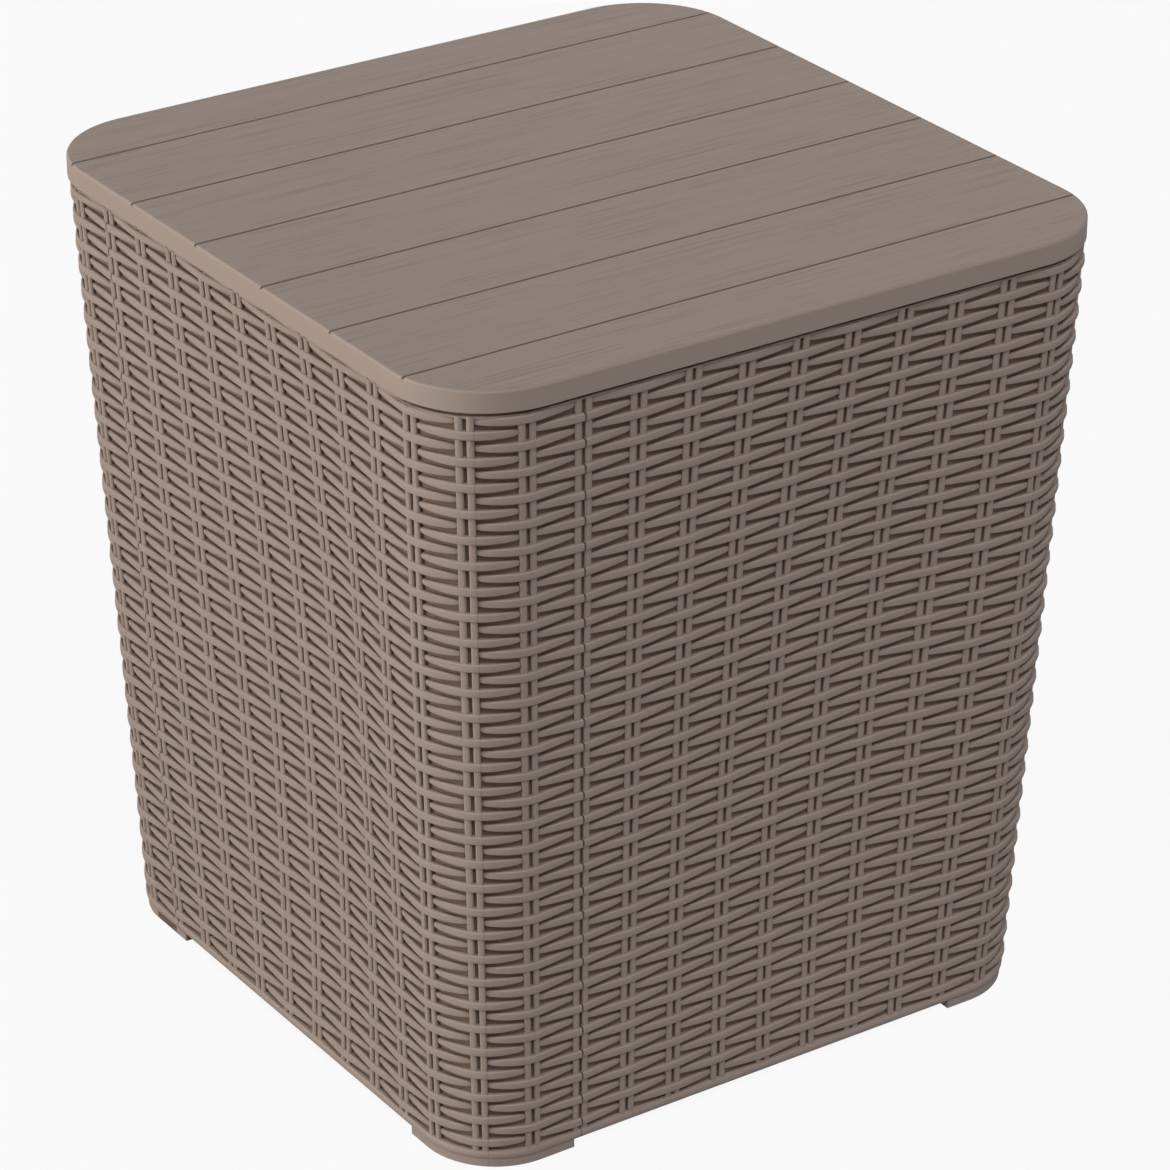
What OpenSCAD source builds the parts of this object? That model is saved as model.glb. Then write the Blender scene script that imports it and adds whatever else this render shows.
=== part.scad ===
// Storage side table with a lift-off slatted lid and four woven-look wall panels.
// Millimetres, +Z up, origin at the bottom centre of the feet, front face towards -Y.
// Each wall panel is one flat face and the rounded corner at its right-hand end.

/* [Table] */
// Height from the floor to the top of the lid
table_h = 469; // [380:1:560]
// Width of the box across the weave at its top edge
box_w = 424; // [396:1:440]
// Corner radius of the box at its top edge
corner_r = 51; // [48:1:58]
// Inward lean of every wall from top to bottom, degrees
wall_lean = 2.56; // [1.5:0.01:3]
// How far the middle of a wall panel is drawn in
wall_bow = 8; // [0:0.5:11]
// Where a wall panel is drawn in most, as a share of the way from its seam to its corner
bow_peak = 0.65; // [0.4:0.05:0.7]

/* [Lid] */
// Depth of the lid's outer rim
lid_h = 12; // [11:0.5:24]
// How far the rim stands out past the weave
lid_overhang = 1; // [0.5:0.5:8]
// Corner radius of the lid
lid_corner_r = 55.5; // [50:0.5:62]
// Thickness of the lid's top plate
lid_plate = 3; // [2.5:0.25:5]
// Thickness of the rim wall
rim_wall = 2.5; // [2:0.25:3.5]
// Radius of the rounded edge round the lid's top
lid_edge_r = 1.5; // [1:0.5:5]
// Pitch of the slats moulded in the lid's top
slat_pitch = 67; // [50:0.5:75]
// Width of the grooves between slats
groove_w = 1.6; // [1:0.1:3]
// Depth of the grooves between slats
groove_d = 1.2; // [0.6:0.1:1.8]
// How far the locating lip reaches below the top of the wall panels
lip_reach = 14; // [8:0.5:16]
// Thickness of the locating lip and the bearing ring
lip_wall = 2.5; // [2:0.25:3]
// Number of stiffening ribs each way under the top plate
lid_ribs = 5; // [3:2:7]
// Depth of the stiffening ribs
lid_rib_h = 9; // [6:0.5:10]
// Thickness of the stiffening ribs in the lid and the floor
rib_wall = 2; // [1.5:0.25:3]

/* [Weave] */
// Stake pairs from seam to seam on the front and back panels
front_columns = 12; // [11:1:12]
// Stake pairs from seam to seam on the side panels
side_columns = 12; // [11:1:12]
// Height of one strand row
strand_pitch = 7.38; // [7:0.01:9]
// Depth of a strand where it tucks behind a stake pair
tuck_d = 1.8; // [1.2:0.1:2.2]
// Depth of the gap between two strand rows
gap_d = 2.6; // [2.4:0.1:3.4]
// Wall thickness behind the gaps
wall_t = 2.9; // [2:0.1:3.5]
// Height of the plain hem under the weave
hem_h = 7; // [5:0.5:12]
// Least height of the plain edge above the weave
top_edge_h = 1; // [0.5:0.5:4]

/* [Seams] */
// Distance of the front and back seams from the corner on their left
seam_front = 79; // [74:1:88]
// Gap between two wall panels at a seam
seam_gap = 0.8; // [0.4:0.1:1.5]
// How far a lap tongue reaches behind the next wall panel
tongue_reach = 16; // [14:0.5:20]
// Thickness of the lap tongue
tongue_t = 3; // [2:0.25:4]
// How far the lap tongue ends below the top and above the hem
tongue_inset = 24; // [20:1:40]
// Hooks at each seam
hooks = 3; // [2:1:4]
// Width of a hook
hook_w = 5; // [4:0.5:6]
// Height of a hook's stem
hook_stem_h = 12; // [8:1:16]
// How far a hook's nose reaches up behind the tongue
hook_nose_h = 8; // [5:1:12]
// Thickness of a hook's nose
hook_nose_t = 2.5; // [2:0.25:3.5]

/* [Edges, floor and feet] */
// Width of the flange inside the top edge of a wall panel
flange_w = 8; // [6:0.5:10]
// Thickness of the top flange
flange_t = 3; // [2:0.25:4]
// Width of the ledge that carries the floor
ledge_w = 10; // [7:0.5:14]
// Thickness of the ledge
ledge_t = 3; // [2:0.25:4]
// Height of the ledge's upper face above the bottom of the wall panels
ledge_h = 12; // [11:0.5:20]
// Distance from a panel's seam to the start of its ledge
ledge_inset = 32; // [24:1:50]
// Thickness of the floor plate
floor_t = 3; // [2:0.25:4]
// How much rounder the floor's corners are than those of the walls
floor_corner_ease = 9; // [7:0.5:14]
// Depth of the ribs under the floor plate
floor_rib_h = 6; // [4:0.5:8]
// Ribs each way under the floor plate
floor_ribs = 5; // [3:2:7]
// Height of the feet below the wall panels
foot_h = 5; // [4:0.5:12]
// Thickness of the feet
foot_t = 10; // [8:0.5:14]
// Length of a foot before its corner
foot_before = 60; // [52:1:70]
// Distance from the end of a side panel's foot to its seam
foot_short = 4; // [2:0.5:8]
// How far a front or back panel's foot reaches under the next hem
foot_lap = 7; // [3:0.5:10]

/* [Fits] */
// Clearance between parts that rest on or hook into one another
fit_gap = 0.3; // [0.2:0.05:0.5]
// Clearance between a lap tongue and the wall in front of it
lap_gap = 0.5; // [0.4:0.05:0.8]
// Clearance of the locating lip and the floor inside the walls
loose_gap = 1; // [0.8:0.1:2]
// Gap between the lid's rim and the top of the wall panels
lid_gap = 1; // [0.6:0.1:2]
// How far a joined feature is rooted in the wall that carries it
root = 0.5; // [0.4:0.1:0.6]

/* [Hidden] */
$fn = 96;
overlap = 0.01;
lid_colour = [0.54, 0.49, 0.46];
wall_colour = [0.55, 0.49, 0.45];

// Heights
panel_top = table_h - lid_h - lid_gap;
panel_bottom = foot_h;
weave_bottom = panel_bottom + hem_h;
rows = floor((panel_top - top_edge_h - weave_bottom) / strand_pitch);
hem_chamfer = 0.8;
ledge_top = panel_bottom + ledge_h;
floor_bottom = ledge_top + fit_gap;
floor_rise = (floor_bottom + floor_t - panel_bottom) / (panel_top - panel_bottom);
floor_bow = 4 * wall_bow * floor_rise * (1 - floor_rise);

// Plan sizes at the top of the wall panels
half_w = box_w / 2;
quarter_run = box_w - 2 * corner_r + PI * corner_r / 2;
column_pitch = 2 * quarter_run / (front_columns + side_columns);
seam_side = seam_front + front_columns * column_pitch - quarter_run;
inner_d = gap_d + wall_t;
lean_run = tan(wall_lean);

// Joint sizes across the seam, measured in from the outer face
tongue_d = inner_d + lap_gap;
nose_d = tongue_d + tongue_t + fit_gap;
hook_x = tongue_reach / 2 - hook_w / 2;
window_gap = 2 * fit_gap;
window_h = hook_stem_h + hook_nose_h + 2 * window_gap;
hook_pitch = (panel_top - panel_bottom - 2 * tongue_inset) / (hooks + 1);

// A side panel follows a front panel, and the other way round
function is_side(p) = p % 2 == 1;
function columns_of(p) = is_side(p) ? side_columns : front_columns;
function seam_of(p) = is_side(p) ? seam_side : seam_front;

// Stake pairs counted right round the box, so that the weave carries on across the seams
function first_column(p) = p == 0 ? 0 : first_column(p - 1) + columns_of(p - 1);

// Plan scale of the box at height z: every section is the top one drawn in
function plan_scale(z) = 1 - lean_run * (panel_top - z) / half_w;

// Half width of the box at height z, at depth d in from the outer face
function half_at(z, d) = half_w * plan_scale(z) - d;
function radius_at(z, d) = corner_r * plan_scale(z) - d;

// Point and outward normal at distance d along a panel whose seam lies s from its left corner
function run_to_arc(s) = box_w - s - corner_r;
function arc_angle(d, s) = (d - run_to_arc(s)) / corner_r * 180 / PI;
function plan_point(d, s) =
    let (turn = arc_angle(d, s), c = half_w - corner_r)
    turn <= 0 ? [s - half_w + d, -half_w]
    : turn <= 90 ? [c + corner_r * sin(turn), -c - corner_r * cos(turn)]
    : [half_w, -c + d - run_to_arc(s) - PI * corner_r / 2];
function plan_normal(d, s) =
    let (turn = min(90, max(0, arc_angle(d, s))))
    [sin(turn), -cos(turn)];

// Inward bow: none at the seams, the corners, the top and the bottom, and most near the middle of the flat
function bow_at(p, j, z) =
    let (
        t = (z - panel_bottom) / (panel_top - panel_bottom),
        u = min(1, j * column_pitch / run_to_arc(seam_of(p))),
        v = u < bow_peak ? u / bow_peak : 1 + (u - bow_peak) / (1 - bow_peak)
    )
    wall_bow * pow(sin(90 * v), 2) * 4 * t * (1 - t);

// Point of panel p at stake column j and height z, at depth d in from the outer face
function wall_point(p, j, z, d) =
    let (
        n = columns_of(p),
        s = seam_of(p),
        run = min(n * column_pitch - seam_gap / 2, max(seam_gap / 2, j * column_pitch)),
        k = plan_scale(z),
        at = plan_point(run, s),
        out = plan_normal(run, s),
        inward = d + bow_at(p, j, z)
    )
    [at.x * k - out.x * inward, at.y * k - out.y * inward, z];

// Grid columns of a panel: every stake pair, and a line between two pairs that turn further than this, degrees
corner_step = 30;
function turned(p, j) = min(90, max(0, arc_angle(j * column_pitch, seam_of(p))));
function grid_columns(p) = [
    for (j = [0 : columns_of(p)])
        each (j < columns_of(p) && turned(p, j + 1) - turned(p, j) > corner_step ? [j, j + 0.5] : [j])
];

// Outer levels from the bottom edge up: hem, then a gap and a strand centre in turn, then the top edge
levels = 2 * rows + 4;
function level_z(i) =
    i == 0 ? panel_bottom
    : i == 1 ? weave_bottom - hem_chamfer
    : i == levels - 1 ? panel_top
    : weave_bottom + (i - 2) * strand_pitch / 2;
function strand_depth(row, j) =
    j != floor(j) ? tuck_d / 2
    : (rows - row + j) % 2 == 0 ? 0 : tuck_d;
function level_depth(p, i, j) =
    i < 2 || i == levels - 1 ? tuck_d
    : i % 2 == 0 ? gap_d
    : strand_depth((i - 3) / 2, j + first_column(p));

// Inner levels, evenly spaced
inner_levels = 5;
function inner_z(m) = panel_bottom + (panel_top - panel_bottom) * m / (inner_levels - 1);

// Inner level that an outer step i is joined to along a seam edge
function partner(i) = floor((inner_levels - 1) * (i + 0.5) / (levels - 1) + 0.5);

// A quad split along the diagonal that stands prouder
function split(q, proud) = proud
    ? [[q[0], q[1], q[2]], [q[0], q[2], q[3]]]
    : [[q[0], q[1], q[3]], [q[1], q[2], q[3]]];

// Shell of one wall panel: the woven relief outside, a smooth face inside
module woven_wall(p) {
    cols = grid_columns(p);
    n = len(cols);
    last = n - 1;
    base = levels * n;
    outer = [for (i = [0 : levels - 1], j = cols) wall_point(p, j, level_z(i), level_depth(p, i, j))];
    inner = [for (m = [0 : inner_levels - 1], j = cols) wall_point(p, j, inner_z(m), inner_d)];
    relief = [
        for (i = [0 : levels - 2], c = [0 : last - 1])
            let (
                low = level_depth(p, i, cols[c]) + level_depth(p, i + 1, cols[c + 1]),
                high = level_depth(p, i + 1, cols[c]) + level_depth(p, i, cols[c + 1]),
                q = [i * n + c, (i + 1) * n + c, (i + 1) * n + c + 1, i * n + c + 1]
            )
            each split(q, low < high)
    ];
    back = [
        for (m = [0 : inner_levels - 2], c = [0 : last - 1])
            let (b = base + m * n + c)
            each split([b, b + 1, b + n + 1, b + n], true)
    ];
    rims = [
        for (c = [0 : last - 1])
            let (top = (levels - 1) * n + c, back_top = base + (inner_levels - 1) * n + c)
            each concat(
                split([c, c + 1, base + c + 1, base + c], true),
                split([top + 1, top, back_top, back_top + 1], true)
            )
    ];
    edges = [
        for (i = [0 : levels - 2])
            let (b = base + partner(i) * n)
            each [[(i + 1) * n, i * n, b], [i * n + last, (i + 1) * n + last, b + last]]
    ];
    steps = [
        for (i = [1 : levels - 2])
            if (partner(i) > partner(i - 1))
                let (b = base + partner(i - 1) * n)
                each [[b, b + n, i * n], [b + n + last, b + last, i * n + last]]
    ];
    polyhedron(points = concat(outer, inner), faces = concat(relief, back, rims, edges, steps), convexity = 10);
}

// Square of half width h with corners of radius r
module round_square(h, r) {
    square([2 * h, 2 * (h - r)], center = true);
    square([2 * (h - r), 2 * h], center = true);
    for (x = [-1, 1], y = [-1, 1])
        translate([x * (h - r), y * (h - r)])
            circle(r);
}

// Band of thickness t inside a round square
module round_band(h, r, t) {
    difference() {
        round_square(h, r);
        round_square(h - t, r - t);
    }
}

// Frame on a seam: X along the face from the seam, Y inward, Z up, zero at the top of the wall panels
module at_seam(p) {
    reach = half_w - seam_of(p);
    slant = atan(reach / half_w * lean_run * cos(wall_lean));
    rotate([0, 0, 90 * p])
        translate([-reach, -half_w, panel_top])
            rotate([wall_lean, 0, 0])
                rotate([0, -slant, 0])
                    children();
}

// Plan area for the flange of panel p, set back a little from both of its seams
module panel_area(p) {
    start = seam_of(p) + seam_gap;
    end = seam_of(p + 1) - seam_gap;
    depth = corner_r + seam_gap;
    translate([start - half_w, -half_w])
        square([box_w - start, depth]);
    translate([half_w - depth, -half_w])
        square([depth, end]);
}

// Flange round the inside of a panel's top edge, which the lid bears on
module top_flange(p) {
    d = inner_d - root;
    translate([0, 0, panel_top - flange_t])
        linear_extrude(flange_t)
            intersection() {
                round_band(half_w - d, corner_r - d, flange_w + root);
                panel_area(p);
            }
}

// Ledge along the flat of a panel, which the floor rests on
module floor_ledge(p) {
    z = ledge_top - ledge_t;
    h = half_at(z, inner_d);
    start = (seam_of(p) - half_w) * plan_scale(z) + ledge_inset;
    end = h - radius_at(z, inner_d);
    translate([start, -h - root, z])
        cube([end - start, ledge_w + root, ledge_t]);
}

// Foot under a panel's corner, rooted in the hem
module foot(p) {
    d = tuck_d;
    h = half_at(panel_bottom, d);
    r = radius_at(panel_bottom, d);
    seam = seam_of(p + 1) * plan_scale(panel_bottom) - d;
    own_end = seam - foot_short;
    lap_end = seam + foot_lap;
    module corner_of(length)
        intersection() {
            round_band(h, r, foot_t);
            translate([h - foot_before, -h])
                square([foot_before, length]);
        }
    linear_extrude(foot_h + hem_h / 2)
        corner_of(own_end);
    if (!is_side(p))
        linear_extrude(foot_h - fit_gap)
            corner_of(lap_end);
}

// Heights of the hooks along a seam, down from the top
function hook_z(i) = -tongue_inset - hook_pitch * (i + 1);

// Tongue at a panel's far end: it laps behind the next panel and has a window for each hook
module lap_tongue() {
    length = (panel_top - panel_bottom - 2 * tongue_inset) / cos(wall_lean);
    difference() {
        union() {
            translate([-tongue_reach, tongue_d, -tongue_inset - length])
                cube([2 * tongue_reach, tongue_t, length]);
            translate([-tongue_reach, inner_d - root, -tongue_inset - length])
                cube([tongue_reach - seam_gap, tongue_d + tongue_t - inner_d + root, length]);
        }
        for (i = [0 : hooks - 1])
            translate([hook_x - window_gap, tongue_d - overlap, hook_z(i) + window_gap - window_h])
                cube([hook_w + 2 * window_gap, tongue_t + 2 * overlap, window_h]);
    }
}

// Hook on a panel's near end: its stem fills the top of a window and its nose stands behind the tongue
module hook(i) {
    translate([hook_x, 0, hook_z(i) - hook_stem_h]) {
        translate([0, inner_d - root, 0])
            cube([hook_w, nose_d + hook_nose_t - inner_d + root, hook_stem_h]);
        translate([0, nose_d, 0])
            cube([hook_w, hook_nose_t, hook_stem_h + hook_nose_h]);
    }
}

// Everything inside a wall panel: top flange, floor ledge and foot, hooks at its start and tongue at its end
module panel_fittings(p) {
    rotate([0, 0, 90 * p]) {
        top_flange(p);
        floor_ledge(p);
        foot(p);
    }
    at_seam(p)
        for (i = [0 : hooks - 1])
            hook(i);
    at_seam(p + 1)
        lap_tongue();
}

// One wall panel
module wall_panel(p) {
    color(wall_colour) {
        rotate([0, 0, 90 * p])
            woven_wall(p);
        panel_fittings(p);
    }
}

// Floor plate with ribs beneath, resting on the four ledges
module floor_panel() {
    h = half_at(floor_bottom, inner_d + floor_bow + loose_gap);
    r = radius_at(floor_bottom, inner_d) + floor_corner_ease;
    rib_reach = half_at(ledge_top - ledge_t, inner_d) - ledge_w - loose_gap;
    step = 2 * rib_reach / (floor_ribs + 1);
    color(wall_colour) {
        translate([0, 0, floor_bottom])
            linear_extrude(floor_t)
                round_square(h, r);
        for (i = [1 : floor_ribs], turn = [0, 90])
            rotate([0, 0, turn])
                translate([-rib_reach, i * step - rib_reach - rib_wall / 2, floor_bottom - floor_rib_h])
                    cube([2 * rib_reach, rib_wall, floor_rib_h + overlap]);
    }
}

// Outside of the lid: a rounded square block with its top edge rounded over
module lid_block(h, r) {
    edge_z = table_h - lid_edge_r;
    inner_h = h - lid_edge_r;
    translate([0, 0, table_h - lid_h])
        linear_extrude(lid_h - lid_edge_r)
            round_square(h, r);
    translate([0, 0, edge_z - overlap])
        linear_extrude(lid_edge_r + overlap)
            round_square(inner_h, r - lid_edge_r);
    for (turn = [0 : 90 : 270])
        rotate([0, 0, turn]) {
            translate([r - h, -inner_h, edge_z])
                rotate([0, 90, 0])
                    cylinder(h = 2 * (h - r), r = lid_edge_r);
            translate([h - r, r - h, edge_z])
                rotate([0, 0, -90])
                    rotate_extrude(angle = 90)
                        translate([r - lid_edge_r, 0])
                            circle(lid_edge_r);
        }
}

// Lift-off lid: slatted top, bearing ring over the wall panels, locating lip and ribs inside
module lid() {
    h = half_w + lid_overhang;
    r = lid_corner_r;
    under = table_h - lid_plate;
    bearing_z = panel_top + fit_gap;
    bearing_d = inner_d - lip_wall;
    lip_d = inner_d + flange_w + loose_gap;
    lip_z = panel_top - lip_reach;
    rib_reach = half_w - lip_d - lip_wall + overlap;
    rib_step = 2 * rib_reach / (lid_ribs + 1);
    slats = floor(h / slat_pitch);
    color(lid_colour)
        difference() {
            union() {
                difference() {
                    lid_block(h, r);
                    translate([0, 0, table_h - lid_h - overlap])
                        linear_extrude(lid_h - lid_plate + overlap)
                            round_square(h - rim_wall, r - rim_wall);
                }
                translate([0, 0, bearing_z])
                    linear_extrude(under - bearing_z + overlap)
                        round_band(half_w - bearing_d, corner_r - bearing_d, lip_wall);
                translate([0, 0, lip_z])
                    linear_extrude(under - lip_z + overlap)
                        round_band(half_w - lip_d, corner_r - lip_d, lip_wall);
                for (i = [1 : lid_ribs], turn = [0, 90])
                    rotate([0, 0, turn])
                        translate([-rib_reach, i * rib_step - rib_reach - rib_wall / 2, under - lid_rib_h])
                            cube([2 * rib_reach, rib_wall, lid_rib_h + overlap]);
            }
            for (i = [-slats : slats - 1])
                translate([-h - overlap, (i + 0.5) * slat_pitch - groove_w / 2, table_h - groove_d])
                    cube([2 * (h + overlap), groove_w, groove_d + overlap]);
        }
}

module front_panel() { wall_panel(0); }
module right_panel() { wall_panel(1); }
module back_panel() { wall_panel(2); }
module left_panel() { wall_panel(3); }

lid();
front_panel();
right_panel();
back_panel();
left_panel();
floor_panel();
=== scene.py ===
"""Storage side table: a box of four woven-look wall panels under a lift-off slatted lid.

Lengths are in metres, +Z is up and the front faces -Y.
"""

import math

import bpy
import numpy as np
from bpy.props import FloatProperty, FloatVectorProperty, IntProperty, PointerProperty
from bpy.types import Operator, Panel, PropertyGroup
from mathutils import Matrix, Vector


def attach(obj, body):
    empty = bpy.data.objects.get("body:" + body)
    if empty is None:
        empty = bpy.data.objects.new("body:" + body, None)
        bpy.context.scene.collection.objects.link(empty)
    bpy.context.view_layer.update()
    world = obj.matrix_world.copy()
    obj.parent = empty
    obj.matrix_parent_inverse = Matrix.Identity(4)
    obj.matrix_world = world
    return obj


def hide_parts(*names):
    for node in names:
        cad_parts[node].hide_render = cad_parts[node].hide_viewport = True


bl_info = {
    "name": "Storage side table",
    "version": (1, 0, 0),
    "blender": (4, 5, 0),
    "location": "View3D > Sidebar > Table",
    "description": "Woven-look storage side table with a lift-off slatted lid",
    "category": "Add Mesh",
}

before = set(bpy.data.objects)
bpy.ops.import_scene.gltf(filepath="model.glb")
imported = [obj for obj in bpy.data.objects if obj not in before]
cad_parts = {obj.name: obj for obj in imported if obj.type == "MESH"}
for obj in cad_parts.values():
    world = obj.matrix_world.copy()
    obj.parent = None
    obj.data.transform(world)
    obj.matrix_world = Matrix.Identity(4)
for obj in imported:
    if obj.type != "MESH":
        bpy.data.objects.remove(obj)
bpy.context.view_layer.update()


def length(name, text, value):
    """A size in metres."""
    return FloatProperty(name=name, description=text, default=value, min=0.0, unit="LENGTH", precision=5)


def degrees(name, text, value):
    """An angle, given in degrees."""
    return FloatProperty(name=name, description=text, default=math.radians(value), unit="ROTATION")


def share(name, text, value):
    """A number between nought and one."""
    return FloatProperty(name=name, description=text, default=value, subtype="FACTOR", min=0.0, max=1.0)


def colour(name, text, value):
    """A linear colour."""
    return FloatVectorProperty(
        name=name, description=text, default=value, subtype="COLOR", min=0.0, max=1.0, size=3
    )


class WallSizes(PropertyGroup):
    """Sizes of the four wall panels."""

    box_width: length("Box width", "Width across the weave at the top edge", 0.424)
    corner_radius: length("Corner radius", "Radius of the rounded corners at the top edge", 0.051)
    lean: degrees("Lean", "Inward lean of every wall", 2.56)
    bow: length("Bow", "How far the middle of a panel is drawn in", 0.008)
    bow_peak: share("Bow peak", "Where from its seam to its corner a panel is drawn in most", 0.65)
    bottom: length("Bottom", "Height of the panels' bottom edge", 0.005)
    top: length("Top", "Height of the panels' top edge", 0.456)
    inner_depth: length("Inner depth", "Depth of the inner face behind the outermost strands", 0.0055)
    columns: IntProperty(name="Columns", description="Stake pairs from seam to seam", default=12)
    seam: length("Seam", "Distance of a seam from the corner on its left", 0.079)
    seam_gap: length("Seam gap", "Gap between two panels", 0.0005)
    seam_groove: length("Seam groove", "Gap between the strands' ends over a seam", 0.0011)
    flange: length("Flange", "Width of the flange inside the top edge", 0.008)
    flange_thickness: length("Flange thickness", "Thickness of the top flange", 0.003)
    ledge: length("Ledge", "Width of the ledge under the floor", 0.010)
    ledge_top: length("Ledge top", "Height of the ledge's upper face", 0.017)
    ledge_inset: length("Ledge inset", "Distance from the seam to the ledge", 0.032)
    foot_thickness: length("Foot thickness", "Thickness of the feet", 0.010)
    foot_before: length("Foot before corner", "Length of a foot before its corner", 0.060)
    foot_short: length("Foot short of seam", "Distance from a side foot's end to its seam", 0.004)
    foot_lap: length("Foot lap", "How far a front foot reaches under the next hem", 0.007)


class WeaveSizes(PropertyGroup):
    """Sizes of the woven relief."""

    rows: IntProperty(name="Rows", description="Strand rows", default=60)
    row_pitch: length("Row pitch", "Height of one strand row", 0.00738)
    bottom: length("Weave bottom", "Height where the weave starts above the hem", 0.012)
    stake_width: length("Stake width", "Width of one upright stake", 0.0041)
    slit: length("Slit", "Gap between the two stakes of a pair", 0.0021)
    stake_depth: length("Stake depth", "Depth of a stake's face", 0.0013)
    gap_depth: length("Gap depth", "Depth of the ground behind the weave", 0.0040)
    tuck_depth: length("Tuck depth", "Depth of a strand between two stake pairs", 0.0021)
    strand_height: length("Strand height", "Height of a strand where it crosses a stake pair", 0.0047)
    parting: length("Parting line", "Distance of the corner's moulding line from the seam", 0.3403)


class JointSizes(PropertyGroup):
    """Sizes of the lap tongues and hooks behind the seams."""

    hooks: IntProperty(name="Hooks", description="Hooks at each seam", default=3)
    tongue_depth: length("Tongue depth", "Depth of the lap tongue's outer face", 0.0060)
    tongue_thickness: length("Tongue thickness", "Thickness of the lap tongue", 0.003)
    tongue_reach: length("Tongue reach", "How far the tongue reaches each way from the seam", 0.016)
    tongue_inset: length("Tongue inset", "Distance of the tongue from the panel's ends", 0.024)
    hook_width: length("Hook width", "Width of a hook", 0.005)
    stem_height: length("Stem height", "Height of a hook's stem", 0.012)
    nose_height: length("Nose height", "How far a hook's nose reaches up", 0.008)
    nose_thickness: length("Nose thickness", "Thickness of a hook's nose", 0.0025)
    clearance: length("Clearance", "Clearance round a hook", 0.0006)


class Finish(PropertyGroup):
    """Colours and surface of the moulded plastic."""

    plastic: colour("Plastic", "Taupe of the moulded plastic", (0.312, 0.243, 0.207))
    shade: share("Grain shade", "How much darker the grain lines are", 0.10)
    # Painted shade: the plastic as it looks in the shadow down in the weave.
    ground: colour("Ground", "Darker shade down in the weave", (0.175, 0.120, 0.094))
    roughness: share("Roughness", "Roughness of the plastic", 0.55)
    slat_pitch: length("Slat pitch", "Pitch of the slats in the lid", 0.067)
    groove_floor: length("Groove floor", "Height of the floor of the grooves between slats", 0.4678)
    # Painted shade down in the grooves between the slats.
    groove_painted_shade: share("Groove shade", "How much darker the grooves between slats are", 0.5)


class Stage(PropertyGroup):
    """Camera, lamps and floor."""

    lens: FloatProperty(name="Lens", description="Focal length of the camera, mm", default=152.821)
    azimuth: degrees("Azimuth", "Camera's angle round the table", -34.1979)
    elevation: degrees("Elevation", "Camera's angle above the horizon", 26.833)
    roll: degrees("Roll", "Camera's roll", 0.1799)
    distance: length("Distance", "Distance of the camera from what it looks at", 2.97)
    target: FloatVectorProperty(
        name="Target",
        description="Point the camera looks at",
        default=(0.103626, 0.136922, 0.137843),
        subtype="TRANSLATION",
    )
    key: FloatProperty(name="Key", description="Strength of the lamp on the left", default=3.75)
    top: FloatProperty(name="Top", description="Strength of the lamp above the front", default=1.85)
    sky: FloatProperty(name="Sky", description="Strength of the light from all round", default=0.19)
    white: share("White", "How much of the floor the camera sees as plain white", 0.92)


# Surfaces worked out as whole arrays

STEP = 0.006  # distance between two sections along a flat face
ARC_STEP = 0.003  # the same round a corner
CREASE = math.radians(35.0)  # a new surface is sharp where it bends by more than this
COPY_CREASE = math.radians(24.0)  # the same for a copy of a frame node
SQUARE = 0.9999  # a copied face is square to an axis from this share of its normal along it
MERGE_DISTANCE = 0.00001  # points of a copied node that are closer than this become one


class Wall:
    """The curved surface of one wall panel, and where its stakes and strands lie on it."""

    def __init__(self, index, sizes):
        self.index, self.sizes = index, sizes
        self.half = sizes.box_width / 2
        self.radius = sizes.corner_radius
        self.columns, self.seam = sizes.columns, sizes.seam
        self.run = sizes.box_width - (2 - math.pi / 2) * self.radius
        self.pitch = self.run / self.columns
        self.straight = sizes.box_width - self.seam - self.radius
        self.arc_end = self.straight + self.radius * math.pi / 2

    def scale(self, z):
        """Every level is the top edge's plan, scaled by one minus the lean's run over the half width."""
        return 1 - math.tan(self.sizes.lean) * (self.sizes.top - z) / self.half

    def turned(self, x, y):
        """Plan coordinates turned about Z by one quarter turn for each panel."""
        c, s = ((1, 0), (0, 1), (-1, 0), (0, -1))[self.index]
        return c * x - s * y, s * x + c * y

    def place(self, run, z, depth):
        """Points at a distance run along the panel, a height z and a depth in from the outermost strands.

        In plan the path is a straight line, a quarter circle and a straight line. It is scaled by the
        level's scale, then moved inward along its own normal by the depth and the bow. The bow is a
        squared sine from the seam to the start of the corner, with its peak moved off the middle, times
        a parabola up the panel that is one at mid-height.
        """
        run, z, depth = np.broadcast_arrays(run, z, depth)
        turn = np.clip((run - self.straight) / self.radius, 0, math.pi / 2)
        before = np.minimum(run, self.straight)
        past = np.maximum(run - self.straight - self.radius * math.pi / 2, 0)
        x = self.seam - self.half + before + self.radius * np.sin(turn)
        y = self.radius - self.half - self.radius * np.cos(turn) + past
        along = np.interp(run / self.straight, [0, self.sizes.bow_peak, 1], [0, 0.5, 1])
        up = (z - self.sizes.bottom) / (self.sizes.top - self.sizes.bottom)
        inward = depth + self.sizes.bow * np.sin(math.pi * along) ** 2 * 4 * up * (1 - up)
        k = self.scale(z)
        x, y = self.turned(x * k - np.sin(turn) * inward, y * k + np.cos(turn) * inward)
        return np.stack([x, y, z], -1)

    def stations(self, start, end):
        """Distances along the panel from start to end, closer together round the corner."""
        marks = [
            np.arange(start, self.straight, STEP),
            np.arange(max(self.straight, start), min(self.arc_end, end), ARC_STEP),
            np.arange(self.arc_end, end, STEP),
        ]
        return np.unique(np.append(np.concatenate(marks), end))

    def seam_matrix(self):
        """Frame on the panel's own seam: X along the face, Y inward, Z up, zero at the panels' top edge."""
        lean = self.sizes.lean
        reach = self.half - self.seam
        slant = math.atan(reach / self.half * math.tan(lean) * math.cos(lean))
        return (
            Matrix.Rotation(math.pi / 2 * self.index, 4, "Z")
            @ Matrix.Translation((-reach, -self.half, self.sizes.top))
            @ Matrix.Rotation(lean, 4, "X")
            @ Matrix.Rotation(-slant, 4, "Y")
        )


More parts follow.
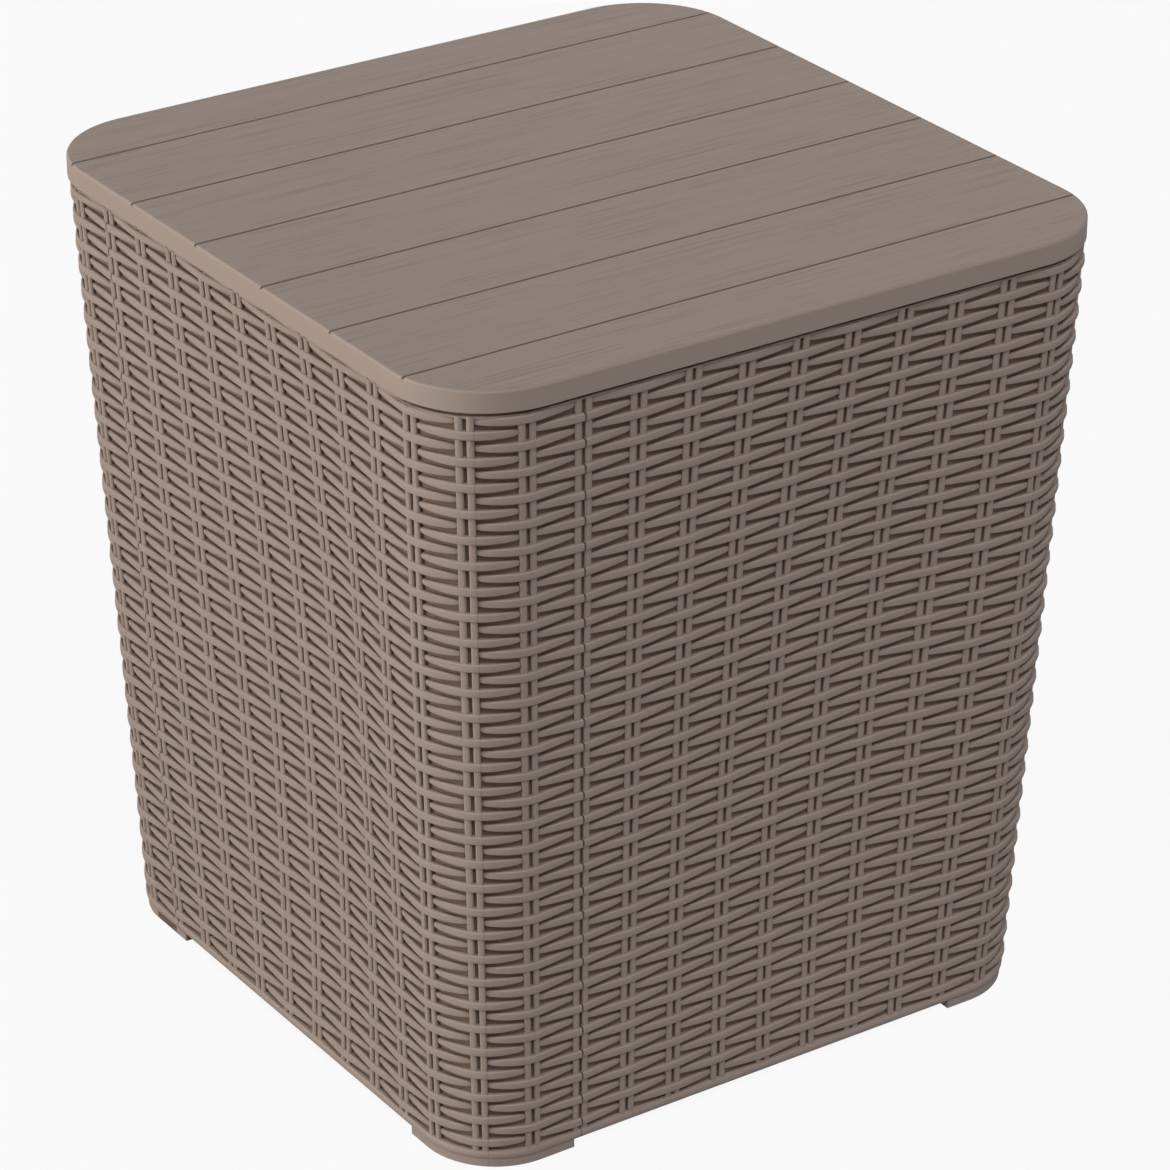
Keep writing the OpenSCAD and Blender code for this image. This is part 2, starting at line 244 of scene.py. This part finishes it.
def ring_quads(sections, ring):
    """Faces between each section and the next, where every section is a closed ring of points."""
    r = np.arange(sections - 1)[:, None]
    c = np.arange(ring)[None, :]
    d = (c + 1) % ring
    corners = [r * ring + c, r * ring + d, (r + 1) * ring + d, (r + 1) * ring + c]
    return np.stack(corners, -1).reshape(-1, 4)


def bars(points, marks):
    """Closed bars, from an array of bars by sections by ring points: rings joined up, both ends capped.

    Each point has four marks: two grain coordinates, how deep it lies in the weave from nought to one,
    which the material turns into painted shade, and its distance along the panel.
    """
    count, sections, ring = points.shape[:3]
    start = np.arange(count)[:, None, None] * sections * ring
    sides = (ring_quads(sections, ring)[None] + start).reshape(-1, 4)
    first = (np.arange(ring)[::-1][None, None] + start).reshape(-1, ring)
    last = (np.arange(ring)[None, None] + (sections - 1) * ring + start).reshape(-1, ring)
    return outward(points.reshape(-1, 3), [sides, first, last], marks.reshape(-1, 4))


def outward(points, faces, marks):
    """Turns every face round if the bars are inside out.

    That shows in the sign of the volume under their sides: the sum, over two triangles for each
    four-sided face, of a . (b x c) about the middle of all points.
    """
    a, b, c, d = (points[faces[0][:, i]] - points.mean(0) for i in range(4))
    volume = np.einsum("ij,ij->i", a, np.cross(b, c) + np.cross(c, d)).sum()
    if volume < 0:
        faces = [f[:, ::-1] for f in faces]
    return points, faces, marks


def boxes(corners, matrix):
    """Boxes from rows of low and high corners, carried into the frame of a matrix.

    Their grain runs up them, and their other two marks are nought.
    """
    corners = np.asarray(corners, float)
    pick = np.array([[0, 0], [1, 0], [1, 1], [0, 1]])
    low, high = corners[:, None, :3], corners[:, None, 3:]
    ring = np.where(pick[None] == 0, low[..., :2], high[..., :2])
    ends = [np.broadcast_to(z, ring.shape[:2] + (1,)) for z in (low[..., 2:], high[..., 2:])]
    points = np.stack([np.concatenate([ring, end], -1) for end in ends], 1)
    m = np.array(matrix)
    marks = np.pad(points[..., [2, 0]], [(0, 0)] * 3 + [(0, 2)])
    return bars(points @ m[:3, :3].T + m[:3, 3], marks)


def sweep(wall, profile, stations, painted_shade=0.0):
    """A closed outline of heights and depths carried along the panel and capped at both ends."""
    z, depth = np.asarray(profile).T
    run = np.asarray(stations)[:, None]
    points = wall.place(run, z[None], depth[None])
    marks = np.stack(np.broadcast_arrays(run, z[None], painted_shade, run), -1)
    return bars(points[None], marks[None])


def make_piece(name, parts, material):
    """Joins parts of points, lists of faces and marks in one mesh object at the origin."""
    points = np.concatenate([p for p, _, _ in parts])
    marks = np.concatenate([m for _, _, m in parts])
    starts = np.cumsum([0] + [len(p) for p, _, _ in parts])
    faces = [f + start for (_, group, _), start in zip(parts, starts) for f in group]
    corners = np.concatenate([f.ravel() for f in faces])
    totals = np.concatenate([np.full(len(f), f.shape[1]) for f in faces])
    firsts = np.concatenate([[0], np.cumsum(totals)[:-1]])
    mesh = bpy.data.meshes.new(name)
    mesh.vertices.add(len(points))
    mesh.vertices.foreach_set("co", points.astype(np.float32).ravel())
    mesh.loops.add(len(corners))
    mesh.loops.foreach_set("vertex_index", corners.astype(np.int32))
    mesh.polygons.add(len(totals))
    mesh.polygons.foreach_set("loop_start", firsts.astype(np.int32))
    mesh.polygons.foreach_set("use_smooth", np.ones(len(totals), bool))
    layer = mesh.uv_layers.new(name="grain")
    layer.data.foreach_set("uv", marks[corners, :2].astype(np.float32).ravel())
    # painted_shade says how deep a point lies in the weave, which the material turns into painted shade.
    for i, attribute in enumerate(("painted_shade", "along")):
        values = mesh.attributes.new(attribute, "FLOAT", "POINT")
        values.data.foreach_set("value", marks[:, 2 + i].astype(np.float32))
    mesh.update(calc_edges=True)
    mesh.validate()
    mesh.set_sharp_from_angle(angle=CREASE)
    mesh.materials.append(material)
    piece = bpy.data.objects.new(name, mesh)
    bpy.context.scene.collection.objects.link(piece)
    return piece


# Parts of a wall panel

# The hem's outline: heights above the bottom edge and depths.
HEM = (
    (0.0, 0.0020),
    (0.0005, 0.0014),
    (0.0016, 0.0010),
    (0.0028, 0.0009),
    (0.0042, 0.0010),
    (0.0050, 0.0015),
    (0.0053, 0.0024),
)
# The top edge's outline with the rebate under the lid: heights below the top edge and depths.
TOP_EDGE = (
    (0.0034, 0.0026),
    (0.0030, 0.0020),
    (0.0018, 0.0019),
    (0.0015, 0.0023),
    (0.0015, 0.0048),
    (0.0, 0.0048),
)
HEM_HEIGHT = 0.0055  # where the ground behind the weave starts above the bottom edge
TOP_EDGE_HEIGHT = 0.0036  # where it ends below the top edge
SHELL_LEVELS = 26  # levels up each side of the wall, which follow its bow
STAKE_START = 0.0046  # a stake starts this far above the bottom edge, inside the hem
STAKE_END = 0.0016  # and ends this far below the top edge, inside it
STAKE_LEVELS = 34  # levels up a stake
# Across a stake: shares of its half width, and how far each point lies behind its face.
STAKE_SECTION = (
    (-1, 0.0032),
    (-1, 0.0009),
    (-0.62, 0.0002),
    (0, 0),
    (0.62, 0.0002),
    (1, 0.0009),
    (1, 0.0032),
)
# Up a strand: shares of its half height, and how far each point lies behind its face, with both
# edges down in the wall.
STRAND_SECTION = (
    (-1, np.inf),
    (-1, 0.0009),
    (-0.74, 0.0002),
    (0, 0),
    (0.74, 0.0002),
    (1, 0.0009),
    (1, np.inf),
)
# Along half a strand: distances from the middle of its stake pair in pitches, shares of the strand
# height, and how far its rounded end sinks.
STRAND_HALF = (
    (0.0, 1.0, 0),
    (0.155, 1.01, 0),
    (0.27, 1.03, 0),
    (0.42, 1.01, 0),
    (0.62, 0.91, 0),
    (0.76, 0.82, 0),
    (0.825, 0.69, 0.0002),
    (0.875, 0.42, 0.0009),
)
STRAND_ROOT = 0.0003  # how far a strand's edges reach into the wall
HEIGHT_SPREAD = 0.02  # how much the strands differ in height, as a share
ROW_SPREAD = 0.00006  # how far they stray from their rows
DEPTH_SPREAD = 0.00005  # and from their depth
SEED = 11  # of all these small differences
STAKE_GRAIN = 0.37  # moves the grain of the stakes off that of the strands
FOOT_DEPTH = 0.0018  # depth of the feet's outer face
FOOT_RISE = 0.0030  # how far a foot reaches up behind the hem
FOOT_GAP = 0.0003  # gap between a front foot's tongue and the hem above it
LEDGE_THICKNESS = 0.003
ROOT = 0.0005  # how far a ledge, hook or lap tongue reaches into the wall that it grows from
OVERLAP = 0.001  # how far two bars of one moulding run into each other
NOSE_GAP = 0.0003  # gap between a lap tongue and the nose of a hook


def wall_shell(wall, weave):
    """The wall behind the weave with its hem, top edge and inner flange, as one swept outline.

    The outline follows the hem, goes up the outside at the depth of the weave's ground, over the top
    edge and the flange, and down the inside.
    """
    s = wall.sizes
    hem = [(s.bottom + up, depth) for up, depth in HEM]
    levels = np.linspace(s.bottom + HEM_HEIGHT, s.top - TOP_EDGE_HEIGHT, SHELL_LEVELS)
    outer = [(z, weave.gap_depth) for z in levels]
    edge = [(s.top - down, depth) for down, depth in TOP_EDGE]
    under_flange, flange_depth = s.top - s.flange_thickness, s.inner_depth + s.flange
    flange = [(s.top, flange_depth), (under_flange, flange_depth)]
    inner = [(z, s.inner_depth) for z in np.linspace(under_flange, s.bottom, SHELL_LEVELS)]
    outline = hem + outer + edge + flange + inner
    # The ground behind the weave gets the full painted shade; the hem, top edge and inside get none.
    painted_shade = np.zeros(len(outline))
    painted_shade[len(hem) : len(hem) + len(outer)] = 1.0
    stations = wall.stations(s.seam_gap / 2, wall.run - s.seam_gap / 2)
    return sweep(wall, outline, stations, painted_shade)


def stakes(wall, weave):
    """Upright stakes in pairs: a flat face with rounded edges, carried from the hem to the top edge.

    The first pair has only its right-hand stake and the last only its left-hand one.
    """
    s = wall.sizes
    offset = (weave.slit + weave.stake_width) / 2
    pairs = np.arange(wall.columns + 1) * wall.pitch
    centres = np.concatenate([pairs[1:] - offset, pairs[:-1] + offset])
    across, sink = np.array(STAKE_SECTION).T
    across = across * (weave.stake_width / 2)
    z = np.linspace(s.bottom + STAKE_START, s.top - STAKE_END, STAKE_LEVELS)
    run = centres[:, None, None] + across[None, None]
    run, z, depth = np.broadcast_arrays(run, z[None, :, None], weave.stake_depth + sink[None, None])
    # How far down a stake's rounded edge a point lies, from nought to one, for the painted shade.
    painted_shade = (depth - weave.stake_depth) / (weave.gap_depth - weave.stake_depth)
    return bars(wall.place(run, z, depth), np.stack([z, run + STAKE_GRAIN, painted_shade, run], -1))


def strand_rows(wall, weave):
    """The stake column and row of each strand, in a chequer that carries on round the whole box."""
    column, row = np.meshgrid(np.arange(wall.columns + 1), np.arange(weave.rows), indexing="ij")
    crossing = (weave.rows - row + column) % 2 == 0
    return column[crossing], row[crossing]


def strands(wall, weave, dice):
    """Strands, each over one stake pair and behind the next pair on both sides.

    Along a strand its depth grows evenly from the pair down to the tuck depth at its ends. Its height
    is most a little beside the pair, and tapers to a rounded end behind the next pair. Over its height
    the face is crowned, with edges that turn in to the wall. A seam has half a strand on each side.
    """
    pair = weave.stake_width + weave.slit / 2
    side, heights, droop = np.array(STRAND_HALF).T
    side, heights = side * wall.pitch, heights * weave.strand_height
    across, sink = np.array(STRAND_SECTION).T
    across = across / 2
    deep = weave.gap_depth + STRAND_ROOT
    edge = wall.sizes.seam_groove / 2
    left, right = -side[:0:-1], side[1:]
    column, row = strand_rows(wall, weave)
    groups = (
        ((column > 0) & (column < wall.columns), [left, side]),
        (column == 0, [[edge], right]),
        (column == wall.columns, [left, [-edge]]),
    )
    parts = []
    for chosen, halves in groups:
        j, r = column[chosen], row[chosen]
        count = len(j)
        along = np.concatenate(halves)
        away = np.abs(along)
        dip = np.clip((away - pair * 0.5) / (side[-1] - pair), 0, 1)
        spread = 1 + HEIGHT_SPREAD * dice.standard_normal((count, 1))
        tall = np.interp(away, side, heights)[None, :] * spread
        middle = weave.bottom + (r + 0.5) * weave.row_pitch + ROW_SPREAD * dice.standard_normal(count)
        wobble = DEPTH_SPREAD * dice.standard_normal((count, 1, 1))
        run = (j * wall.pitch)[:, None, None] + along[None, :, None]
        z = middle[:, None, None] + tall[..., None] * across
        face = (weave.tuck_depth * dip + np.interp(away, side, droop))[None, :, None]
        depth = np.minimum(face + sink + wobble, deep)
        run, z, depth = np.broadcast_arrays(run, z, depth)
        # How far down a strand's edge towards the wall a point lies, from nought to one, for the painted
        # shade.
        painted_shade = (depth - face) / (deep - face)
        shift = dice.random((count, 1, 1))
        parts.append(bars(wall.place(run, z, depth), np.stack([run + shift, z, painted_shade, run], -1)))
    return parts


def foot(wall):
    """The foot under the panel's corner, and on a front panel the tongue of it under the next hem."""
    s = wall.sizes
    k = wall.scale(s.bottom)
    half = wall.half * k - FOOT_DEPTH
    seam = wall.seam * k - FOOT_DEPTH
    start = (half - s.foot_before) / k + wall.half - wall.seam

    def run_at(distance):
        """The distance along the panel of a point this far past the foot's outer corner."""
        return (distance - half) / k + wall.half - wall.radius + wall.arc_end

    rise, inner = s.bottom + FOOT_RISE, FOOT_DEPTH + s.foot_thickness
    profile = [(0, FOOT_DEPTH), (0, inner), (rise, inner), (rise, FOOT_DEPTH)]
    parts = [sweep(wall, profile, wall.stations(start, run_at(seam - s.foot_short)))]
    if wall.index % 2 == 0:
        low = [(min(z, s.bottom - FOOT_GAP), depth) for z, depth in profile]
        tongue = wall.stations(run_at(seam - s.foot_short - OVERLAP), run_at(seam + s.foot_lap))
        parts.append(sweep(wall, low, tongue))
    return parts


def ledge(wall):
    """The ledge along the flat of the panel, under the floor."""
    s = wall.sizes
    low, high = s.ledge_top - LEDGE_THICKNESS, s.ledge_top
    back, front = s.inner_depth - ROOT, s.inner_depth + s.ledge
    profile = [(low, back), (low, front), (high, front), (high, back)]
    return sweep(wall, profile, wall.stations(s.ledge_inset / wall.scale(low), wall.straight))


def seam_joint(wall, following, joint):
    """Hooks at the panel's own seam, and at the next seam the lap tongue with a window for each hook."""
    s = wall.sizes
    back = s.inner_depth - ROOT
    near, far = joint.tongue_depth, joint.tongue_depth + joint.tongue_thickness
    nose = far + NOSE_GAP
    nose_end = nose + joint.nose_thickness
    left = joint.tongue_reach / 2 - joint.hook_width / 2
    right = left + joint.hook_width
    span = s.top - s.bottom - 2 * joint.tongue_inset
    step = span / (joint.hooks + 1)
    heights = [-joint.tongue_inset - step * (i + 1) for i in range(joint.hooks)]
    hooks = []
    for z in heights:
        hooks.append((left, back, z - joint.stem_height, right, nose_end, z))
        hooks.append((left, nose, z - OVERLAP, right, nose_end, z + joint.nose_height))
    window_left, window_right = left - joint.clearance, right + joint.clearance
    low, high = -joint.tongue_inset - span / math.cos(s.lean), -joint.tongue_inset
    plates = [
        (-joint.tongue_reach, back, low, -s.seam_gap, far, high),
        (-s.seam_gap, near, low, window_left, far, high),
        (window_right, near, low, joint.tongue_reach, far, high),
    ]
    top = high
    for z in heights:
        window_top = z + joint.nose_height + joint.clearance
        plates.append((window_left, near, window_top, window_right, far, top))
        top = z - joint.stem_height - joint.clearance
    plates.append((window_left, near, low, window_right, far, top))
    return [boxes(hooks, wall.seam_matrix()), boxes(plates, following.seam_matrix())]


# Materials

WHITE = (1.0, 1.0, 1.0, 1.0)
SKY = (0.93, 0.96, 1.0, 1.0)  # of the light from all round
PALE = (0.55, 0.55, 0.55, 1.0)  # of the floor, as light falls on it
REFRACTION = 1.46  # of the plastic
GLOSS = 0.22  # of the plastic; at 0.5 it would reflect as its refraction says


class Value:
    """A socket that takes part in Python arithmetic: each operator adds a Math node."""

    def __init__(self, shader, socket):
        self.shader, self.socket = shader, socket

    def math(self, operation, *others):
        """Adds a Math node on this socket and any others."""
        inputs = dict(enumerate((self, *others)))
        return self.shader.node("ShaderNodeMath", {"operation": operation}, inputs)

    def __add__(self, other):
        return self.math("ADD", other)

    def __sub__(self, other):
        return self.math("SUBTRACT", other)

    def __rsub__(self, other):
        return (self * -1.0) + other

    def __mul__(self, other):
        return self.math("MULTIPLY", other)

    def __truediv__(self, other):
        return self.math("DIVIDE", other)

    __radd__, __rmul__ = __add__, __mul__

    def floor(self):
        return self.math("FLOOR")

    def abs(self):
        return self.math("ABSOLUTE")


class Shader:
    """The node tree of a material or of the world, built up from Python."""

    def __init__(self, owner):
        owner.use_nodes = True
        self.owner, self.tree = owner, owner.node_tree
        self.tree.nodes.clear()

    def node(self, kind, settings=None, inputs=None, output=0):
        """Adds a node: its settings first, then its inputs as numbers, colours or other sockets."""
        node = self.tree.nodes.new(kind)
        for key, value in (settings or {}).items():
            setattr(node, key, value)
        for key, value in (inputs or {}).items():
            if isinstance(value, Value):
                self.tree.links.new(value.socket, node.inputs[key])
            else:
                node.inputs[key].default_value = value
        return Value(self, node.outputs[output]) if node.outputs else None

    def finish(self, surface, output="ShaderNodeOutputMaterial"):
        """Joins a shader to the output, and gives back the material or world."""
        self.node(output, None, {"Surface": surface})
        return self.owner

    def parts(self, vector):
        """The three numbers of a vector."""
        return [self.node("ShaderNodeSeparateXYZ", None, {0: vector}, i) for i in range(3)]

    def vector(self, x, y, z):
        """A vector of three numbers."""
        return self.node("ShaderNodeCombineXYZ", None, {0: x, 1: y, 2: z})

    def noise(self, vector, scale=1.0, detail=2.0, roughness=0.5):
        """A noise over a vector, from nought to one."""
        inputs = {"Vector": vector, "Scale": scale, "Detail": detail, "Roughness": roughness}
        return self.node("ShaderNodeTexNoise", None, inputs)

    def band(self, value, low, high, out_low=0.0, out_high=1.0):
        """A smooth step of a value from one range to another."""
        settings = {"interpolation_type": "SMOOTHSTEP"}
        inputs = {"Value": value, 1: low, 2: high, 3: out_low, 4: out_high}
        return self.node("ShaderNodeMapRange", settings, inputs)

    def mix(self, factor, first, second, blend="MIX"):
        """Two colours mixed: a colour Mix node has its factor at 0, its colours at 6 and 7."""
        settings = {"data_type": "RGBA", "blend_type": blend}
        return self.node("ShaderNodeMix", settings, {0: factor, 6: first, 7: second}, 2)

    def plastic(self, colour, shade, roughness, height, depth):
        """Matte moulded plastic: a colour times a changing shade, roughness and a relief of some depth."""
        grey = self.node("ShaderNodeCombineColor", None, {0: shade, 1: shade, 2: shade})
        inputs = {
            "Base Color": self.mix(1.0, colour, grey, "MULTIPLY"),
            "Roughness": roughness,
            "Normal": self.node("ShaderNodeBump", None, {"Distance": depth, "Height": height}),
            "IOR": REFRACTION,
            "Specular IOR Level": GLOSS,
        }
        return self.finish(self.node("ShaderNodeBsdfPrincipled", None, inputs))


def woven_plastic(finish, weave):
    """Matte plastic with fine streaks along each strand and stake, with painted shade down in the weave.

    A moulding line runs up each corner, a hair wide and faded out 0.3 mm from its middle. Noise scales
    are repeats per metre.
    """
    shader = Shader(bpy.data.materials.new("woven_plastic"))
    place = shader.node("ShaderNodeTexCoord", None, None, "Object")
    u, v, _ = shader.parts(shader.node("ShaderNodeUVMap", {"uv_map": "grain"}))
    painted_shade = shader.node("ShaderNodeAttribute", {"attribute_name": "painted_shade"}, None, "Fac")
    along = shader.node("ShaderNodeAttribute", {"attribute_name": "along"}, None, "Fac")
    streak = shader.noise(shader.vector(u * 60.0, v * 1500.0, 0.0), detail=3.0)
    mottle = shader.noise(place, scale=35.0, detail=3.0)
    pores = shader.noise(place, scale=900.0)
    parting = 1.0 - shader.band((along - weave.parting).abs(), 0.0001, 0.0003)
    # Painted shade: the deeper a point lies in the weave, the more the plastic is mixed towards the darker
    # ground colour, for the shadow there.
    deep = shader.band(painted_shade, 0.25, 1.0)
    base = shader.mix(deep, (*finish.plastic, 1.0), (*finish.ground, 1.0))
    streaks = streak * finish.shade * 0.8 - finish.shade * 0.4
    mottles = mottle * finish.shade - finish.shade * 0.5
    shade = (1.0 - streaks - mottles) * (1.0 - parting * 0.22)
    roughness = mottle * 0.1 + (finish.roughness - 0.05)
    height = streak * 0.7 + pores * 0.3 - parting
    return shader.plastic(base, shade, roughness, height, depth=0.00012)


def grained_plastic(finish, name):
    """Matte plastic with a brushed wood grain along X on its upper faces, and plain sides.

    Each slat has another grain. The grooves between the slats get a painted shade: a band round each
    whole number of slat pitches across, from the grooves' floor up. Noise scales are repeats per metre.
    """
    shader = Shader(bpy.data.materials.new(name))
    place = shader.node("ShaderNodeTexCoord", None, None, "Object")
    normal = shader.node("ShaderNodeTexCoord", None, None, "Normal")
    x, y, z = shader.parts(place)
    upper = shader.band(shader.parts(normal)[2], 0.90, 0.99)
    across = y / finish.slat_pitch + 0.5
    slat = across.floor()
    broad = shader.vector(x * 9.0 + slat * 3.7, y * 420.0, z * 30.0)
    narrow = shader.vector(x * 40.0 + slat * 1.3, y * 1400.0, z * 200.0)
    grain = shader.noise(broad, detail=4.0, roughness=0.6)
    fine = shader.noise(narrow, detail=3.0, roughness=0.6)
    patch = shader.noise(shader.vector(x * 14.0 + slat * 5.1, y * 60.0, 0.0))
    pores = shader.noise(place, scale=700.0)
    lines = shader.band(grain, 0.46, 0.66) * shader.band(patch, 0.38, 0.62, out_low=0.35) * upper
    brushed = (fine - 0.5) * upper
    shade = 1.0 - lines * finish.shade * 1.5 - brushed * finish.shade * 2.2 - (pores - 0.5) * 0.04
    # Painted shade: the grooves between the slats are darkened for the shadow down in them.
    groove = 1.0 - shader.band((across - (across + 0.5).floor()).abs(), 0.006, 0.016)
    groove = groove * shader.band(z, finish.groove_floor - 0.0004, finish.groove_floor)
    shade = shade * (1.0 - groove * finish.groove_painted_shade)
    roughness = lines * 0.08 + (finish.roughness - 0.03)
    height = brushed * 0.4 - lines * 0.6 + pores * 0.1
    return shader.plastic((*finish.plastic, 1.0), shade, roughness, height, depth=0.00022)


# Operators


class SIDE_TABLE_OT_wall_panels(Operator):
    """Makes the four woven wall panels with their feet, ledges, hooks and lap tongues"""

    bl_idname = "side_table.wall_panels"
    bl_label = "Wall panels"

    def execute(self, context):
        scene = context.scene
        sizes, weave, joint = scene.side_table_walls, scene.side_table_weave, scene.side_table_joints
        material = woven_plastic(scene.side_table_finish, weave)
        names = ("front_panel", "right_panel", "back_panel", "left_panel")
        walls = [Wall(i, sizes) for i in range(4)]
        dice = np.random.default_rng(SEED)
        for i, (node, wall) in enumerate(zip(names, walls)):
            parts = [wall_shell(wall, weave), stakes(wall, weave), ledge(wall)]
            parts += strands(wall, weave, dice) + foot(wall)
            parts += seam_joint(wall, walls[(i + 1) % 4], joint)
            piece = make_piece("woven_" + node, parts, material)
            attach(piece, "box")
            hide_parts(node)
        return {"FINISHED"}


def smooth_copy(node, name, material):
    """A copy of a frame node, its doubles merged, its faces square to an axis flat and the rest smooth."""
    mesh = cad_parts[node].data.copy()
    mesh.name = name
    piece = bpy.data.objects.new(name, mesh)
    bpy.context.scene.collection.objects.link(piece)
    merge = piece.modifiers.new("merge", "WELD")
    merge.merge_threshold = MERGE_DISTANCE
    depsgraph = bpy.context.evaluated_depsgraph_get()
    merged = bpy.data.meshes.new_from_object(piece.evaluated_get(depsgraph))
    piece.modifiers.clear()
    piece.data = merged
    normals = np.empty(len(merged.polygons) * 3, np.float32)
    merged.polygons.foreach_get("normal", normals)
    flat = np.abs(normals).reshape(-1, 3).max(1) > SQUARE
    # Finding the sharp edges makes every face smooth, so the flat ones are set after it.
    merged.set_sharp_from_angle(angle=COPY_CREASE)
    merged.polygons.foreach_set("use_smooth", ~flat)
    merged.materials.clear()
    merged.materials.append(material)
    return piece


class SIDE_TABLE_OT_lid(Operator):
    """Dresses the slatted lid with its wood grain"""

    bl_idname = "side_table.lid"
    bl_label = "Lid"

    def execute(self, context):
        material = grained_plastic(context.scene.side_table_finish, "grained_plastic")
        piece = smooth_copy("lid", "slatted_lid", material)
        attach(piece, "lid")
        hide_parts("lid")
        return {"FINISHED"}


class SIDE_TABLE_OT_floor(Operator):
    """Dresses the floor panel in the lid's plastic"""

    bl_idname = "side_table.floor"
    bl_label = "Floor panel"

    def execute(self, context):
        material = grained_plastic(context.scene.side_table_finish, "floor_plastic")
        piece = smooth_copy("floor_panel", "ribbed_floor", material)
        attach(piece, "box")
        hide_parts("floor_panel")
        return {"FINISHED"}


class SIDE_TABLE_OT_stage(Operator):
    """Sets the camera, the lamps, the pale floor and the white surroundings"""

    bl_idname = "side_table.stage"
    bl_label = "Stage"

    def execute(self, context):
        stage = context.scene.side_table_stage
        self.set_camera(context.scene, stage)
        self.set_light(context.scene, stage)
        self.set_ground(stage)
        context.scene.view_settings.view_transform = "Standard"
        return {"FINISHED"}

    def set_camera(self, scene, stage):
        """The camera looks back along a direction given by azimuth and elevation, rolled about it."""
        a, e, r = stage.azimuth, stage.elevation, stage.roll
        back = Vector((math.sin(a) * math.cos(e), -math.cos(a) * math.cos(e), math.sin(e)))
        right = Vector((math.cos(a), math.sin(a), 0))
        up = back.cross(right)
        x = right * math.cos(r) + up * math.sin(r)
        y = up * math.cos(r) - right * math.sin(r)
        data = bpy.data.cameras.new("camera")
        data.lens, data.sensor_width = stage.lens, 36.0
        data.clip_start, data.clip_end = 0.05, 50.0
        camera = bpy.data.objects.new("camera", data)
        place = Vector(stage.target) + back * stage.distance
        camera.matrix_world = Matrix.Translation(place) @ Matrix((x, y, back)).transposed().to_4x4()
        scene.collection.objects.link(camera)
        scene.camera = camera

    def set_light(self, scene, stage):
        """A warm lamp low on the left, a cooler one above the front and cool light from all round.

        The camera, and rays that come off or through a surface, see white surroundings instead.
        """
        # Name, strength, apparent size in degrees, colour and the direction towards the lamp.
        lamps = (
            ("key", stage.key, 26.0, (1.0, 0.935, 0.85), (-0.91, 0.41, 0.03)),
            ("top", stage.top, 32.0, (0.95, 0.975, 1.0), (-0.20, -0.54, 0.82)),
        )
        for name, strength, angle, shade, towards in lamps:
            data = bpy.data.lights.new(name, "SUN")
            data.energy, data.angle, data.color = strength, math.radians(angle), shade
            lamp = bpy.data.objects.new(name, data)
            lamp.rotation_euler = Vector(towards).to_track_quat("Z", "Y").to_euler()
            scene.collection.objects.link(lamp)
        world = Shader(bpy.data.worlds.new("surroundings"))
        sky = world.node("ShaderNodeBackground", None, {"Color": SKY, "Strength": stage.sky})
        white = world.node("ShaderNodeBackground", None, {"Color": WHITE, "Strength": 1.0})
        seen = world.node("ShaderNodeLightPath", None, None, "Is Camera Ray")
        for ray in ("Is Glossy Ray", "Is Transmission Ray"):
            seen = seen.math("MAXIMUM", world.node("ShaderNodeLightPath", None, None, ray))
        surface = world.node("ShaderNodeMixShader", None, {0: seen, 1: sky, 2: white})
        scene.world = world.finish(surface, "ShaderNodeOutputWorld")

    def set_ground(self, stage):
        """A round pale floor just under the feet, mostly white to the camera, with the table's shadow."""
        shader = Shader(bpy.data.materials.new("pale_floor"))
        pale = shader.node("ShaderNodeBsdfDiffuse", None, {"Color": PALE})
        white = shader.node("ShaderNodeEmission", None, {"Color": WHITE, "Strength": 1.0})
        seen = shader.node("ShaderNodeLightPath", None, None, "Is Camera Ray") * stage.white
        material = shader.finish(shader.node("ShaderNodeMixShader", None, {0: seen, 1: pale, 2: white}))
        count, radius, drop = 96, 8.0, 0.0002
        angle = np.linspace(0, 2 * math.pi, count, endpoint=False)
        points = np.stack([radius * np.cos(angle), radius * np.sin(angle), np.full(count, -drop)], -1)
        floor = make_piece("floor", [(points, [np.arange(count)[None]], np.zeros((count, 4)))], material)


class SIDE_TABLE_PT_pieces(Panel):
    """Lists the table's pieces, sizes and finish"""

    bl_label = "Storage side table"
    bl_space_type = "VIEW_3D"
    bl_region_type = "UI"
    bl_category = "Table"

    def draw(self, context):
        for operator in OPERATORS:
            self.layout.operator(operator.bl_idname)
        for name, group in GROUPS.items():
            box = self.layout.box()
            box.label(text=group.__doc__)
            for prop in group.__annotations__:
                box.prop(getattr(context.scene, name), prop)


GROUPS = {
    "side_table_walls": WallSizes,
    "side_table_weave": WeaveSizes,
    "side_table_joints": JointSizes,
    "side_table_finish": Finish,
    "side_table_stage": Stage,
}
OPERATORS = (SIDE_TABLE_OT_wall_panels, SIDE_TABLE_OT_lid, SIDE_TABLE_OT_floor, SIDE_TABLE_OT_stage)


def register():
    for item in (*GROUPS.values(), *OPERATORS, SIDE_TABLE_PT_pieces):
        bpy.utils.register_class(item)
    for name, group in GROUPS.items():
        setattr(bpy.types.Scene, name, PointerProperty(type=group))


def unregister():
    for name in GROUPS:
        delattr(bpy.types.Scene, name)
    for item in reversed((*GROUPS.values(), *OPERATORS, SIDE_TABLE_PT_pieces)):
        bpy.utils.unregister_class(item)


def main():
    """Makes every piece and the stage."""
    register()
    bpy.ops.side_table.wall_panels()
    bpy.ops.side_table.lid()
    bpy.ops.side_table.floor()
    bpy.ops.side_table.stage()


if __name__ == "__main__":
    main()
